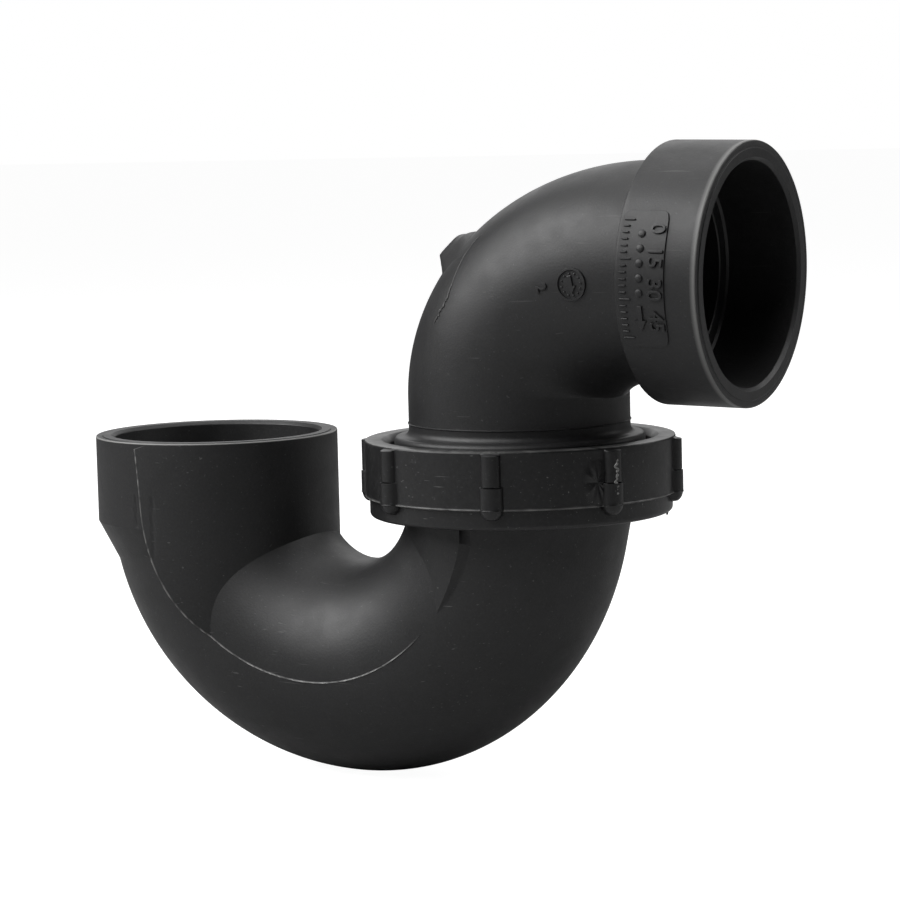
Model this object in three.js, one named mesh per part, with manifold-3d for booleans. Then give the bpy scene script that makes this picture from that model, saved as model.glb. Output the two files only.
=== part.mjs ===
// A 1-1/2 in P trap for a sink or shower drain, moulded in black ABS: a U bend with an inlet
// hub, and an elbow that a threaded union nut clamps on the bend's riser, over a rubber washer.
// Millimetres, +Z up. The origin is the centre of the inlet hub's rim, and the union stands on +X.
import * as THREE from 'three';
import { mergeVertices } from 'three/addons/utils/BufferGeometryUtils.js';
import Module from 'manifold-3d';

const wasm = await Module();
wasm.setup();

// Waterway and pipe sockets, the same at both ends.
const BORE_RADIUS = 20.45;
const HUB_RADIUS = 28.7;
const SOCKET_MOUTH_RADIUS = 24.35;
const SOCKET_STOP_RADIUS = 24.1;
const SOCKET_DEPTH = 17.5;
const SOCKET_CHAMFER = 0.7;
const RIM_EDGE = 0.35; // broken outer edge of a rim

// U bend: its centre line is two quarter ellipses that meet at the bottom.
const LEG_SPACING = 82.55; // inlet axis to union axis, 3-1/4 in
const BOTTOM_Z = -53.3; // centre line at the lowest point
const INLET_DROP = 38.3; // height of the inlet leg's quarter ellipse
const RISER_DROP = 43.9; // height of the riser leg's quarter ellipse
const INLET_LEG_RADIUS = 25.6;
const BOTTOM_RADIUS = 24.75;
const RISER_LEG_RADIUS = 24.9;
const INLET_HUB_LENGTH = 20.1;
const SHOULDER_CONE = 7.6; // length of the cone under the hub's outer half
const SHOULDER_FOOT_RADIUS = 24.9; // the cone ends inside the tube
const RISER_STEP_RADIUS = 26.2; // the riser's inner half, which is drawn straight up
const PARTING_OFFSET = 1.5; // the mould parts this far outside the inlet leg's centre line

// Union: collar on the riser, washer, elbow flange and nut, from the bottom up.
const PITCH = 3.175; // eight threads to the inch, right hand
const COLLAR_TOP = -7.3;
const COLLAR_BOTTOM = -15.2;
const COLLAR_RADIUS = 31.2; // root of the outside thread
const THREAD_HEIGHT = 1.1;
const THREAD_CLEARANCE = 0.3;
const THREAD_ROOT_WIDTH = 1.75;
const THREAD_CREST_WIDTH = 0.75;
const THREAD_BOTTOM = -14;
const COLLAR_THREAD_TURNS = 1.8;
const NUT_THREAD_TURNS = 2.6;
const THREAD_RUN_OUT = 0.08; // part of a turn over which a ridge grows to its full height
const JOINT_GAP = 0.3; // between pieces that touch when the union is tight
const CUP_RADIUS = 25.1; // counterbore that takes the elbow's spigot
const CUP_BOTTOM = -11.3;
const CUP_CONE_BOTTOM = -14.6;
const WASHER_THICKNESS = 1.85;
const WASHER_INNER_RADIUS = 25;
const WASHER_OUTER_RADIUS = 31;
const SPIGOT_RADIUS = 24.6;
const SPIGOT_LENGTH = 5.95;
const FLANGE_RADIUS = 31.2;
const FLANGE_THICKNESS = 3;
const DISC_RADIUS = 28.2; // shoulder of the elbow inside the nut's opening
const DISC_TOP = 2.1;
const DISC_EDGE = 0.9;
const SPIGOT_CHAMFER = 0.6;

const NUT_TOP = 1.45;
const NUT_BOTTOM = -15.7;
const NUT_LIP = 3;
const NUT_OPENING_RADIUS = 29.7;
const NUT_OPENING_CHAMFER = 1.4;
const BAND_RADIUS = 34.9;
const BAND_BOTTOM = -11.35;
const SKIRT_RADIUS = 34.05;
const SKIRT_EDGE = 0.9;
const RIB_COUNT = 8;
const RIB_ANGLE = -71.5; // degrees about +Z from +X to the first rib
const RIB_RADIUS = 36.3;
const RIB_WIDTH = 4;
const RIB_FOOT_RADIUS = 36.6;
const RIB_FOOT_WIDTH = 4.9;
const RIB_FOOT_TOP = -6.2;
const RIB_FOOT_BOTTOM = -13.4;

// Elbow: neck, a bend on a quarter ellipse, and the outlet hub, which falls 1/4 in to the foot.
const NECK_RADIUS = 24.9;
const OUTLET_TUBE_RADIUS = 24.1;
const ELBOW_START_Z = 11;
const ELBOW_REACH = 35; // union axis to the end of the bend
const ELBOW_RISE = 28; // bend start to the outlet axis
const OUTLET_AXIS_DROP = 0.5; // the bend's centre line ends this far below the hub's axis
const OUTLET_LENGTH = 58; // union axis to the outlet rim
const OUTLET_HUB_LENGTH = 18.9;
const OUTLET_FALL = Math.atan(1 / 48);
const LUG_SHARE = 0.37; // how far round the bend the gate lug stands
const LUG_FOOT_LENGTH = 12.5; // along the bend, where the lug leaves the tube
const LUG_FOOT_SHIFT = 1.5; // the foot reaches further towards the outlet than the top
const LUG_FOOT_WIDTH = 29; // its sides run out on the tube, as a fan gate's do
const LUG_TOP_LENGTH = 7.6;
const LUG_TOP_WIDTH = 8.6;
const LUG_HEIGHT = 3.1;
const LUG_SINK = 6; // the foot lies this far inside the tube

// Facets.
const ROUND = 40;
const NUT_ROUND = 64;
const BORE_ROUND = 28;
const BEND_STEPS = 20;
const ELBOW_STEPS = 9;
const THREAD_STEPS = 32; // for each turn

const WASHER_TOP = COLLAR_TOP + JOINT_GAP + WASHER_THICKNESS;
const FLANGE_BOTTOM = WASHER_TOP + JOINT_GAP;
const FLANGE_TOP = FLANGE_BOTTOM + FLANGE_THICKNESS;
const SPIGOT_BOTTOM = FLANGE_BOTTOM - SPIGOT_LENGTH;
const NUT_ROOT_RADIUS = COLLAR_RADIUS + THREAD_HEIGHT + THREAD_CLEARANCE;
const EMBED = 1; // how far joined and cut shapes run into each other

/** A closed geometry as a manifold solid, with its faces turned outwards. */
function solid(geometry) {
  const bare = geometry.clone();
  bare.deleteAttribute('normal');
  bare.deleteAttribute('uv');
  const merged = mergeVertices(bare);
  const vertProperties = Float32Array.from(merged.attributes.position.array);
  const triVerts = Uint32Array.from(merged.index.array);
  if (signedVolume(vertProperties, triVerts) < 0) triVerts.reverse();
  return new wasm.Manifold(new wasm.Mesh({ numProp: 3, vertProperties, triVerts }));
}

/** Six times the volume that a closed mesh encloses, negative when its faces point inwards. */
function signedVolume(vertices, triangles) {
  const [a, b, c] = [new THREE.Vector3(), new THREE.Vector3(), new THREE.Vector3()];
  let volume = 0;
  for (let i = 0; i < triangles.length; i += 3) {
    a.fromArray(vertices, 3 * triangles[i]);
    b.fromArray(vertices, 3 * triangles[i + 1]);
    c.fromArray(vertices, 3 * triangles[i + 2]);
    volume += a.dot(b.cross(c));
  }
  return volume;
}

/** A named mesh from a manifold solid. */
function piece(name, body, colour, roughness) {
  const { vertProperties, triVerts } = body.getMesh();
  const geometry = new THREE.BufferGeometry();
  geometry.setAttribute('position', new THREE.BufferAttribute(Float32Array.from(vertProperties), 3));
  geometry.setIndex(new THREE.BufferAttribute(Uint32Array.from(triVerts), 1));
  geometry.computeVertexNormals();
  const material = new THREE.MeshStandardMaterial({ color: colour, roughness, metalness: 0 });
  const mesh = new THREE.Mesh(geometry, material);
  mesh.name = name;
  return mesh;
}

/** A solid turned about +Z from a closed outline of [radius, height] points. */
function turned(outline, segments = ROUND) {
  const points = [...outline, outline[0]].map(([radius, height]) => new THREE.Vector2(radius, height));
  return solid(new THREE.LatheGeometry(points, segments).rotateX(Math.PI / 2));
}

/** A skin through closed loops of points, with a flat cap on the first and the last. */
function loft(loops) {
  const count = loops[0].length;
  const caps = [loops[0], loops.at(-1)].map((loop) => {
    const middle = new THREE.Vector3();
    loop.forEach((point) => middle.addScaledVector(point, 1 / count));
    return middle;
  });
  const vertices = [...loops.flat(), ...caps].flatMap((point) => point.toArray());
  const first = loops.length * count;
  const lastLoop = first - count;
  const index = [];
  for (let j = 0; j < count; j += 1) {
    const next = (j + 1) % count;
    for (let i = 0; i < lastLoop; i += count) {
      index.push(i + j, i + next, i + count + next, i + j, i + count + next, i + count + j);
    }
    index.push(first, next, j, first + 1, lastLoop + j, lastLoop + next);
  }
  const geometry = new THREE.BufferGeometry();
  geometry.setAttribute('position', new THREE.Float32BufferAttribute(vertices, 3));
  geometry.setIndex(index);
  return solid(geometry);
}

/** A round section about a centre, square to a tangent that lies in the plane y = 0. */
function section({ centre, tangent, radius }, segments) {
  const outward = new THREE.Vector3(tangent.z, 0, -tangent.x);
  return Array.from({ length: segments }, (_, i) => {
    const angle = (2 * Math.PI * i) / segments;
    const point = centre.clone().addScaledVector(outward, radius * Math.cos(angle));
    point.y += radius * Math.sin(angle);
    return point;
  });
}

/** A helical ridge on a wall of radius `wall`, standing to radius `crest`; phase is in turns. */
function threadRidge(wall, crest, turns, phase) {
  const steps = Math.round(turns * THREAD_STEPS);
  const root = wall + Math.sign(wall - crest) * THREAD_CLEARANCE;
  const loops = Array.from({ length: steps + 1 }, (_, i) => {
    const turn = (turns * i) / steps;
    const grown = THREE.MathUtils.smoothstep(Math.min(turn, turns - turn), 0, THREAD_RUN_OUT);
    const top = THREE.MathUtils.lerp(root, crest, Math.max(grown, 0.1));
    const angle = 2 * Math.PI * (turn + phase);
    const height = THREAD_BOTTOM + PITCH * turn;
    const corners = [
      [root, -THREAD_ROOT_WIDTH / 2], [top, -THREAD_CREST_WIDTH / 2],
      [top, THREAD_CREST_WIDTH / 2], [root, THREAD_ROOT_WIDTH / 2],
    ];
    return corners.map(([r, dz]) => new THREE.Vector3(r * Math.cos(angle), r * Math.sin(angle), height + dz));
  });
  return loft(loops);
}

/** A pipe socket to cut from a hub: rim at height 0, opening upwards, with a chamfered mouth. */
function socket() {
  const mouth = SOCKET_MOUTH_RADIUS;
  return turned([
    [0, -SOCKET_DEPTH], [SOCKET_STOP_RADIUS, -SOCKET_DEPTH], [mouth, -SOCKET_CHAMFER],
    [mouth + SOCKET_CHAMFER, 0], [mouth + SOCKET_CHAMFER, EMBED], [0, EMBED],
  ]);
}

/** The outside of a hub: rim at height 0, with its outer edge broken. */
function hub(length) {
  return turned([
    [0, -length], [HUB_RADIUS, -length], [HUB_RADIUS, -RIM_EDGE], [HUB_RADIUS - RIM_EDGE, 0], [0, 0],
  ]);
}

/** A station on the U's centre line: 0 where the inlet leg starts to bend, PI at the riser. */
function bendStation(angle) {
  const onInletSide = angle < Math.PI / 2;
  const drop = onInletSide ? INLET_DROP : RISER_DROP;
  const legRadius = onInletSide ? INLET_LEG_RADIUS : RISER_LEG_RADIUS;
  const half = LEG_SPACING / 2;
  return {
    centre: new THREE.Vector3(half * (1 - Math.cos(angle)), 0, BOTTOM_Z + drop * (1 - Math.sin(angle))),
    tangent: new THREE.Vector3(half * Math.sin(angle), 0, -drop * Math.cos(angle)).normalize(),
    radius: BOTTOM_RADIUS + (legRadius - BOTTOM_RADIUS) * Math.cos(angle) ** 2,
  };
}

/** Stations along the whole U, with a straight end up each leg to the given heights. */
function bendStations(inletTop, riserTop) {
  const stations = Array.from({ length: BEND_STEPS + 1 }, (_, i) => bendStation((Math.PI * i) / BEND_STEPS));
  const inlet = { ...stations[0], centre: new THREE.Vector3(0, 0, inletTop) };
  const riser = { ...stations.at(-1), centre: new THREE.Vector3(LEG_SPACING, 0, riserTop) };
  return [inlet, ...stations, riser];
}

/** The space on the throat side of the U's centre line, where the mould's inner half is drawn up. */
function throatSide() {
  const half = LEG_SPACING / 2;
  const inletTop = BOTTOM_Z + INLET_DROP;
  const riserTop = BOTTOM_Z + RISER_DROP;
  const outline = new THREE.Shape().moveTo(-PARTING_OFFSET, riserTop).lineTo(-PARTING_OFFSET, inletTop);
  outline.absellipse(half, inletTop, half + PARTING_OFFSET, INLET_DROP, Math.PI, 1.5 * Math.PI);
  outline.absellipse(half, riserTop, half, RISER_DROP, 1.5 * Math.PI, 2 * Math.PI);
  const depth = 3 * HUB_RADIUS;
  const prism = new THREE.ExtrudeGeometry(outline, { depth, bevelEnabled: false, curveSegments: 16 });
  return solid(prism.rotateX(Math.PI / 2).translate(0, depth / 2, 0));
}

/** A plain upright cylinder. */
function upright(radius, bottom, top) {
  return turned([[0, bottom], [radius, bottom], [radius, top], [0, top]]);
}

/** U bend: inlet hub, U, and the threaded collar and cup that the union closes on. */
function trapBend() {
  const tube = loft(bendStations(-EMBED, COLLAR_BOTTOM + EMBED).map((station) => section(station, ROUND)));
  const cone = turned([
    [0, -INLET_HUB_LENGTH - SHOULDER_CONE], [SHOULDER_FOOT_RADIUS, -INLET_HUB_LENGTH - SHOULDER_CONE],
    [HUB_RADIUS, -INLET_HUB_LENGTH], [0, -INLET_HUB_LENGTH],
  ]);
  const throat = throatSide();
  const hubDrawnDown = upright(HUB_RADIUS, BOTTOM_Z, -EMBED).intersect(throat);
  const riserDrawnDown = upright(RISER_STEP_RADIUS, BOTTOM_Z, COLLAR_BOTTOM + EMBED)
    .translate([LEG_SPACING, 0, 0]).intersect(throat);
  const collar = upright(COLLAR_RADIUS, COLLAR_BOTTOM, COLLAR_TOP)
    .add(threadRidge(COLLAR_RADIUS, COLLAR_RADIUS + THREAD_HEIGHT, COLLAR_THREAD_TURNS, 0))
    .translate([LEG_SPACING, 0, 0]);
  const cup = turned([
    [0, CUP_CONE_BOTTOM], [BORE_RADIUS, CUP_CONE_BOTTOM], [CUP_RADIUS, CUP_BOTTOM],
    [CUP_RADIUS, COLLAR_TOP + EMBED], [0, COLLAR_TOP + EMBED],
  ]).translate([LEG_SPACING, 0, 0]);
  const waterway = loft(bendStations(-SOCKET_DEPTH + EMBED, COLLAR_TOP + EMBED)
    .map((station) => section({ ...station, radius: BORE_RADIUS }, BORE_ROUND)));
  return hub(INLET_HUB_LENGTH).add(cone).add(tube).add(hubDrawnDown).add(riserDrawnDown).add(collar)
    .subtract(waterway).subtract(cup).subtract(socket());
}

/** A station on the elbow's centre line, from upright at 0 to the outlet's fall at the end. */
function elbowStation(share) {
  const rise = ELBOW_RISE - OUTLET_AXIS_DROP;
  const end = Math.PI / 2 + Math.atan((Math.tan(OUTLET_FALL) * ELBOW_REACH) / rise);
  const angle = end * share;
  return {
    centre: new THREE.Vector3(ELBOW_REACH * (1 - Math.cos(angle)), 0, ELBOW_START_Z + rise * Math.sin(angle)),
    tangent: new THREE.Vector3(ELBOW_REACH * Math.sin(angle), 0, rise * Math.cos(angle)).normalize(),
    radius: THREE.MathUtils.lerp(NECK_RADIUS, OUTLET_TUBE_RADIUS, share),
  };
}

/** Stations from a height on the neck, round the bend and straight on by `run` into the hub. */
function elbowStations(bottom, run) {
  const stations = Array.from({ length: ELBOW_STEPS + 1 }, (_, i) => elbowStation(i / ELBOW_STEPS));
  const foot = { ...stations[0], centre: new THREE.Vector3(0, 0, bottom) };
  const last = stations.at(-1);
  const end = { ...last, centre: last.centre.clone().addScaledVector(last.tangent, run) };
  return [foot, ...stations, end];
}

/** Places a solid made with its rim at height 0 on the outlet, whose axis falls away on +X. */
function onOutlet(body) {
  const height = ELBOW_START_Z + ELBOW_RISE - Math.tan(OUTLET_FALL) * OUTLET_LENGTH;
  const degrees = 90 + THREE.MathUtils.radToDeg(OUTLET_FALL);
  return body.rotate([0, degrees, 0]).translate([OUTLET_LENGTH, 0, height]);
}

/** The fan-shaped stump on the outside of the bend where the moulding was fed. */
function gateLug() {
  const { centre, tangent, radius } = elbowStation(LUG_SHARE);
  const block = new THREE.BoxGeometry(LUG_FOOT_LENGTH, LUG_FOOT_WIDTH, LUG_SINK + LUG_HEIGHT);
  const position = block.attributes.position;
  for (let i = 0; i < position.count; i += 1) {
    const top = position.getZ(i) > 0;
    const x = position.getX(i);
    position.setX(i, top ? (x * LUG_TOP_LENGTH) / LUG_FOOT_LENGTH : x + LUG_FOOT_SHIFT);
    position.setY(i, position.getY(i) * (top ? LUG_TOP_WIDTH / LUG_FOOT_WIDTH : 1));
  }
  const outward = new THREE.Vector3(-tangent.z, 0, tangent.x);
  const frame = new THREE.Matrix4().makeBasis(tangent, outward.clone().cross(tangent), outward);
  const middle = centre.clone().addScaledVector(outward, radius + (LUG_HEIGHT - LUG_SINK) / 2);
  return solid(block.applyMatrix4(frame.setPosition(middle)));
}

/** Elbow: spigot, clamped flange, shoulder disc, neck, bend with its gate lug, and outlet hub. */
function trapElbow() {
  const foot = turned([
    [0, SPIGOT_BOTTOM], [SPIGOT_RADIUS - SPIGOT_CHAMFER, SPIGOT_BOTTOM],
    [SPIGOT_RADIUS, SPIGOT_BOTTOM + SPIGOT_CHAMFER], [SPIGOT_RADIUS, FLANGE_BOTTOM],
    [FLANGE_RADIUS, FLANGE_BOTTOM], [FLANGE_RADIUS, FLANGE_TOP], [DISC_RADIUS, FLANGE_TOP],
    [DISC_RADIUS, DISC_TOP - DISC_EDGE], [DISC_RADIUS - DISC_EDGE, DISC_TOP],
    [NECK_RADIUS + DISC_EDGE, DISC_TOP], [NECK_RADIUS, DISC_TOP + DISC_EDGE], [0, DISC_TOP + DISC_EDGE],
  ]);
  const run = OUTLET_LENGTH - OUTLET_HUB_LENGTH - ELBOW_REACH + EMBED;
  const tube = loft(elbowStations(DISC_TOP, run).map((station) => section(station, ROUND)));
  const waterway = loft(elbowStations(SPIGOT_BOTTOM - EMBED, OUTLET_HUB_LENGTH)
    .map((station) => section({ ...station, radius: BORE_RADIUS }, BORE_ROUND)));
  return foot.add(tube).add(gateLug()).add(onOutlet(hub(OUTLET_HUB_LENGTH)))
    .subtract(waterway).subtract(onOutlet(socket()));
}

/** A grip rib's outline on the band, wider at its foot, with a round end over the skirt. */
function nutRib(angle) {
  const rootRadius = SKIRT_RADIUS - EMBED / 2;
  const upper = new THREE.BoxGeometry(RIB_RADIUS - rootRadius, RIB_WIDTH, NUT_TOP - RIB_FOOT_TOP + EMBED);
  upper.translate((RIB_RADIUS + rootRadius) / 2, 0, (NUT_TOP + RIB_FOOT_TOP - EMBED) / 2);
  const half = RIB_FOOT_WIDTH / 2;
  const end = new THREE.Shape().moveTo(half, RIB_FOOT_TOP).lineTo(-half, RIB_FOOT_TOP);
  end.lineTo(-half, RIB_FOOT_BOTTOM + half).absarc(0, RIB_FOOT_BOTTOM + half, half, Math.PI, 2 * Math.PI);
  const depth = RIB_FOOT_RADIUS - rootRadius;
  const lower = new THREE.ExtrudeGeometry(end, { depth, bevelEnabled: false, curveSegments: 4 });
  lower.rotateX(Math.PI / 2).rotateZ(Math.PI / 2).translate(rootRadius, 0, 0);
  return solid(upper).add(solid(lower)).rotate([0, 0, angle]);
}

/** Union nut: lip, ribbed band, plain skirt and the inside thread. */
function unionNut() {
  const lipBottom = NUT_TOP - NUT_LIP;
  let body = turned([
    [NUT_OPENING_RADIUS, lipBottom], [NUT_OPENING_RADIUS, NUT_TOP - NUT_OPENING_CHAMFER],
    [NUT_OPENING_RADIUS + NUT_OPENING_CHAMFER, NUT_TOP], [BAND_RADIUS - RIM_EDGE, NUT_TOP],
    [BAND_RADIUS, NUT_TOP - RIM_EDGE], [BAND_RADIUS, BAND_BOTTOM], [SKIRT_RADIUS, BAND_BOTTOM],
    [SKIRT_RADIUS, NUT_BOTTOM + SKIRT_EDGE], [SKIRT_RADIUS - SKIRT_EDGE, NUT_BOTTOM],
    [NUT_ROOT_RADIUS, NUT_BOTTOM], [NUT_ROOT_RADIUS, lipBottom],
  ], NUT_ROUND);
  for (let i = 0; i < RIB_COUNT; i += 1) {
    body = body.add(nutRib(RIB_ANGLE + (360 * i) / RIB_COUNT));
  }
  return body.add(threadRidge(NUT_ROOT_RADIUS, NUT_ROOT_RADIUS - THREAD_HEIGHT, NUT_THREAD_TURNS, 0.5));
}

/** Flat rubber ring between the collar and the elbow's flange. */
function unionWasher() {
  const bottom = WASHER_TOP - WASHER_THICKNESS;
  return turned([
    [WASHER_INNER_RADIUS, bottom], [WASHER_OUTER_RADIUS, bottom],
    [WASHER_OUTER_RADIUS, WASHER_TOP], [WASHER_INNER_RADIUS, WASHER_TOP],
  ]);
}

const union = new THREE.Group();
union.position.x = LEG_SPACING;
union.add(piece('union_washer', unionWasher(), 0x17171a, 0.85));
union.add(piece('union_nut', unionNut(), 0x1d1d1f, 0.42));
union.add(piece('trap_elbow', trapElbow(), 0x202022, 0.45));

const trap = new THREE.Group();
trap.add(piece('trap_bend', trapBend(), 0x1f1f21, 0.5));
trap.add(union);

export default trap;
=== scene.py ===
"""A 1-1/2 in P trap in black ABS: a U bend, an elbow, and the union nut and washer between them.

Sizes are in millimetres and are turned to metres when a mesh is made. +Z is up, the origin is the
centre of the inlet rim, and the union's axis stands further along +X.
"""
import math

import bmesh
import bpy
import numpy as np
from mathutils import Matrix, Vector


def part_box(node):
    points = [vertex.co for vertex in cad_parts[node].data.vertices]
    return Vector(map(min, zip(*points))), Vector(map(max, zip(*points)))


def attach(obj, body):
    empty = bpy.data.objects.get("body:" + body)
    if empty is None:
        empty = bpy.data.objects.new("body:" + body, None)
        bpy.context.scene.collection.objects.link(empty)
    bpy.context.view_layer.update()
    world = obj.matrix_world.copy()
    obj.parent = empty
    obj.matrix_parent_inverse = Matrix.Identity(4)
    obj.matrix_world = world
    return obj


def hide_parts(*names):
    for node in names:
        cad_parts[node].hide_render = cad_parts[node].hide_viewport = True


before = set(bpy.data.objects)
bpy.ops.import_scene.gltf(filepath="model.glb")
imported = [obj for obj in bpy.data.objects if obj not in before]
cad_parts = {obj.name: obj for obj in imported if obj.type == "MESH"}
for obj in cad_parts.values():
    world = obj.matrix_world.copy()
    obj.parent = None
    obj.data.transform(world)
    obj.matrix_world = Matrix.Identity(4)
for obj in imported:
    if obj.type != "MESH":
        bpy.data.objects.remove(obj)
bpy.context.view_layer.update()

# ---------------------------------------------------------------------------------------------
# U bend. One injection moulding in black ABS: the inlet hub with its pipe socket, the U, and the
# threaded collar with a cup for the elbow's spigot. The mould parts along the front and back, and
# its inner half, drawn straight up, leaves the hub and the riser proud of the plain tube.

MM = 0.001
bend_low = np.array(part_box("trap_bend")[0]) / MM
nut_low, nut_high = (np.array(corner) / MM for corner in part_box("union_nut"))
washer_low, washer_high = (np.array(corner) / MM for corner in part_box("union_washer"))

UNION_X = (nut_low[0] + nut_high[0]) / 2
HUB_RADIUS = -bend_low[0]
BORE_RADIUS = 20.45
SOCKET_MOUTH_RADIUS = 24.35
SOCKET_STOP_RADIUS = 24.1
SOCKET_DEPTH = 17.5
SOCKET_CHAMFER = 0.7
RIM_EDGE = 0.35
INLET_HUB_LENGTH = 20.1
SHOULDER_SLOPE = 0.5  # how fast the cone under the hub's outer half narrows
CONE_LOWEST = -31  # the cone is inside the tube by here

HALF_SPACING = UNION_X / 2
BOTTOM_RADIUS = 24.75
BOTTOM_Z = bend_low[2] + BOTTOM_RADIUS
INLET_DROP = 38.3
RISER_DROP = 43.9
INLET_LEG_RADIUS = 25.6
RISER_LEG_RADIUS = 24.9
RISER_STEP_RADIUS = 26.2
RISER_LEDGE_SLOPE = 1.5  # how far its edge runs out for each millimetre that it stands proud

CLEARANCE = 0.3  # between faces that press on each other when the nut is tight
PITCH = 3.175
COLLAR_BOTTOM = -15.2
COLLAR_TOP = washer_low[2] - CLEARANCE
COLLAR_RADIUS = 31.2
THREAD_HEIGHT = 1.1
THREAD_ROOT_WIDTH = 1.75
THREAD_CREST_WIDTH = 0.75
THREAD_BOTTOM = -14
COLLAR_THREAD_TURNS = 1.8
THREAD_RUN_OUT = 0.08  # part of a turn over which the ridge grows and dies
CUP_RADIUS = 25.1
CUP_BOTTOM = -11.3
CUP_CONE_BOTTOM = -14.6

PARTING_AT_BEND = 2.45  # the seam's distance outside the centre line where the leg starts to bend
PARTING_FADE = 1.15  # and it comes back to it by this power of e for each radian of bend
PARTING_END_TURNS = (1.6, 2.4)  # and is all the way back between these turns
FLASH_HEIGHT = 0.2


def smooth(value, low, high):
    """0 up to low, 1 from high on, and an even S between them."""
    share = np.clip((value - low) / (high - low), 0, 1)
    return share * share * (3 - 2 * share)


def ripple(along, *wavelengths):
    """An uneven wave from -1 to 1: sines of these wavelengths added, each shifted by its own length."""
    waves = [np.sin(2 * math.pi * along / length + 7 * length) for length in wavelengths]
    return sum(waves) / len(waves)


def root(function, low, high, steps=44):
    """Where a function of whole arrays turns from positive at low to negative at high, by halving."""
    low, high = np.broadcast_arrays(np.asarray(low, float), np.asarray(high, float))
    low, high = low.copy(), high.copy()
    for _ in range(steps):
        middle = (low + high) / 2
        inside = function(middle) > 0
        low, high = np.where(inside, middle, low), np.where(inside, high, middle)
    return (low + high) / 2


def bend_line(turn):
    """The U's centre line and the way to its throat, in the plane y = 0.

    Two quarter ellipses that meet at the bottom: x = half (1 - cos turn), z = bottom + drop
    (1 - sin turn), with turn 0 at the inlet leg and pi at the riser. A turn below 0 runs straight up
    the inlet. The throat's direction is the tangent turned by a right angle.
    """
    bent = np.maximum(turn, 0)
    drop = np.where(turn < math.pi / 2, INLET_DROP, RISER_DROP)
    x = HALF_SPACING * (1 - np.cos(bent))
    z = BOTTOM_Z + drop * (1 - np.sin(bent)) - np.minimum(turn, 0) * INLET_DROP
    tangent_x, tangent_z = HALF_SPACING * np.sin(bent), -drop * np.cos(bent)
    length = np.hypot(tangent_x, tangent_z)
    return x, z, -tangent_z / length, tangent_x / length


def tube_radius(turn):
    """The U's outside radius: the leg's own at each end, easing to the bottom's by cos squared."""
    leg = np.where(turn < math.pi / 2, INLET_LEG_RADIUS, RISER_LEG_RADIUS)
    return BOTTOM_RADIUS + (leg - BOTTOM_RADIUS) * np.cos(np.clip(turn, 0, math.pi)) ** 2


def shoulder_radius(z):
    """The hub's outside radius, then the cone under it."""
    return HUB_RADIUS + SHOULDER_SLOPE * np.minimum(z + INLET_HUB_LENGTH, 0)


def bend_skin(turn, share, throat):
    """A point of the bend's outside, and how far one shape stands over the other there.

    A section square to the centre line is cut in two by the parting surface. share runs from 0 at
    the seam to 1 at the middle of that half, and sets the distance q from the centre line by
    q = reach sin(angle). Each shape is round about its own line, so its half width y there is
    sqrt(R^2 - d^2), d being the distance to that line. The outer half is the wider of the tube and
    the hub with its cone. The throat half is the wider of the tube and the upright cylinder of the
    hub or the riser, and the riser's edge slopes down to the tube on the outer side.
    """
    x0, z0, way_x, way_z = bend_line(turn)
    radius = tube_radius(turn)
    seam = -PARTING_AT_BEND * np.exp(-PARTING_FADE * turn) * (1 - smooth(turn, *PARTING_END_TURNS))
    on_inlet = turn < math.pi / 2
    steep = np.where(np.abs(way_x) < 1e-6, 1e-6, way_x)
    upright = np.where(on_inlet, HUB_RADIUS - x0, UNION_X - RISER_STEP_RADIUS - x0) / steep
    to_hub = (HUB_RADIUS + x0) / steep
    to_cone = HUB_RADIUS + SHOULDER_SLOPE * (z0 + INLET_HUB_LENGTH) + x0
    to_cone = to_cone / np.maximum(way_x + SHOULDER_SLOPE * way_z, 1e-6)
    outer = np.minimum(to_hub, to_cone)
    outer = np.where(on_inlet & (z0 - outer * way_z > CONE_LOWEST), outer, 0)
    reach = np.maximum(radius, np.where(throat, upright, outer))
    start = np.arcsin(np.clip(seam / reach, -1, 1))
    end = np.where(throat, math.pi / 2, -math.pi / 2)
    q = reach * np.sin(start + (end - start) * share)
    x, z = x0 + q * way_x, z0 + q * way_z
    tube = radius**2 - q**2
    hub = HUB_RADIUS**2 - x**2
    riser = RISER_STEP_RADIUS**2 - (x - UNION_X) ** 2
    cone = np.maximum(shoulder_radius(z), 0) ** 2 - x**2
    block = np.where(throat, np.where(on_inlet, hub, riser), np.where(on_inlet, np.minimum(hub, cone), 0))
    y = np.sqrt(np.maximum(np.maximum(tube, block), 0))
    seam_x = x0 + seam * way_x
    proud = np.sqrt(np.maximum(RISER_STEP_RADIUS**2 - (seam_x - UNION_X) ** 2, 0))
    proud = np.where(on_inlet | throat, 0, proud - np.sqrt(radius**2 - seam**2))
    run = RISER_LEDGE_SLOPE * np.maximum(proud, 0.01)
    y = y + np.maximum(proud, 0) * np.clip(1 - (seam - q) / run, 0, 1)
    return x, y, z, block - tube


# Columns run from the seam to the middle of each half, closer together near the seam.
NEAR_SEAM = np.array([0, 0.008, 0.017, 0.027, 0.038, 0.05, 0.063, 0.077])
half_columns = np.concatenate([NEAR_SEAM, np.linspace(0.093, 1, 50)])
half_count = len(half_columns)
front = np.concatenate([half_columns[::-1], half_columns])
column_share = np.concatenate([front, front[::-1][1:-1]])
column_throat = np.concatenate([
    np.full(half_count, True), np.full(half_count, False),
    np.full(half_count - 1, False), np.full(half_count - 1, True),
])
column_side = np.concatenate([np.full(2 * half_count, -1.0), np.full(2 * half_count - 2, 1.0)])
at_seam = column_share == 0

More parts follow.
